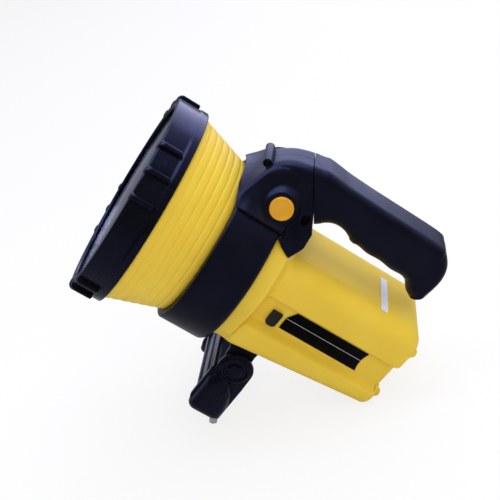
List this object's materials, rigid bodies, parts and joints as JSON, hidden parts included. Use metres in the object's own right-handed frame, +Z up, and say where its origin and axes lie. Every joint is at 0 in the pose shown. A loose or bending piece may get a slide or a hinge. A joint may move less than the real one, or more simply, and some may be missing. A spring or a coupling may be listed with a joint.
{
  "type": "hand spotlight",
  "caption": "Rechargeable hand spotlight standing on its fold-out leg: ribbed front ring, stepped yellow head, black band, turning handle with push button, and a battery housing.",
  "frame": {"origin": "centre of the bounding box at the ground, under the lamp as it stands on its leg and its lower rear edge", "axes": "+X from the front ring towards the battery housing along the ground, so the beam leaves towards -X and upwards; +Z up; the side with the button faces -Y"},
  "size_m": [0.2824, 0.1612, 0.2534],
  "materials": {
    "battery": "dark grey battery case",
    "black_gloss": "glossy black ABS",
    "black_satin": "satin black ABS with a bluish sheen",
    "board": "green circuit board",
    "button_yellow": "orange-yellow ABS",
    "ceramic": "off-white heat-proof",
    "clear": "clear, polished",
    "foam": "dark foam",
    "grey": "light grey rubber",
    "label": "gloss black label stock",
    "reflector": "vacuum-metallised, mirror bright",
    "rubber": "black rubber",
    "steel": "plain steel",
    "white": "white label stock",
    "yellow": "satin yellow ABS"
  },
  "bodies": {
    "lamp": {"battery": "battery", "battery_pad": "foam", "battery_strip": "foam", "body_housing": "yellow", "bracket_screw_far": "steel", "bracket_screw_near": "steel", "bulb": "clear", "bulb_holder": "ceramic", "charge_socket": "black_satin", "circuit_board": "board", "collar_band": "black_satin", "handle_head_far": "black_satin", "handle_head_near": "black_satin", "lamp_housing": "yellow", "lead_far": "rubber", "lead_near": "rubber", "pin_clip": "steel", "pivot_pin": "black_gloss", "reflector": "reflector", "saddle_screw_far": "steel", "saddle_screw_near": "steel", "shell_screw_1": "steel", "shell_screw_2": "steel", "side_label_far": "label", "side_label_near": "label", "stand_bracket": "black_satin", "strap_bar": "black_satin", "switch_body": "black_satin", "top_sticker": "white"},
    "bezel": {"bezel_ring": "black_gloss", "lens": "clear", "lens_seal": "rubber"},
    "grip": {"handle_grip": "black_satin", "swivel_spindle": "steel", "swivel_washer": "steel", "swivel_spring": "steel"},
    "button": {"push_button": "button_yellow"},
    "stand": {"stand_leg": "black_gloss", "foot_pad_near": "grey", "foot_pad_far": "grey"},
    "cap": {"socket_cap": "rubber"}
  },
  "joints": [
    {"name": "bezel_turn", "type": "hinge", "parent": "lamp", "child": "bezel", "pos_m": [-0.08697, 0, 0.19701], "axis": [0.721, 0, -0.6929], "range_deg": [0, 30]},
    {"name": "handle_swivel", "type": "hinge", "parent": "lamp", "child": "grip", "pos_m": [0.05322, 0, 0.1749], "axis": [0.9837, 0, -0.1799], "range_deg": [0, 180]},
    {"name": "button_press", "type": "slide", "parent": "lamp", "child": "button", "axis": [-0.1441, 0.9781, -0.1499], "range_m": [0, 0.0025], "stiffness_N_per_m": 400, "springref_m": -0.001},
    {"name": "stand_fold", "type": "hinge", "parent": "lamp", "child": "stand", "pos_m": [-0.03047, 0, 0.04655], "axis": [0, -1, 0], "range_deg": [0, 88]},
    {"name": "cap_open", "type": "hinge", "parent": "lamp", "child": "cap", "pos_m": [0.01304, -0.0303, 0.09327], "axis": [-0.721, 0, 0.6929], "range_deg": [0, 90]}
  ]
}
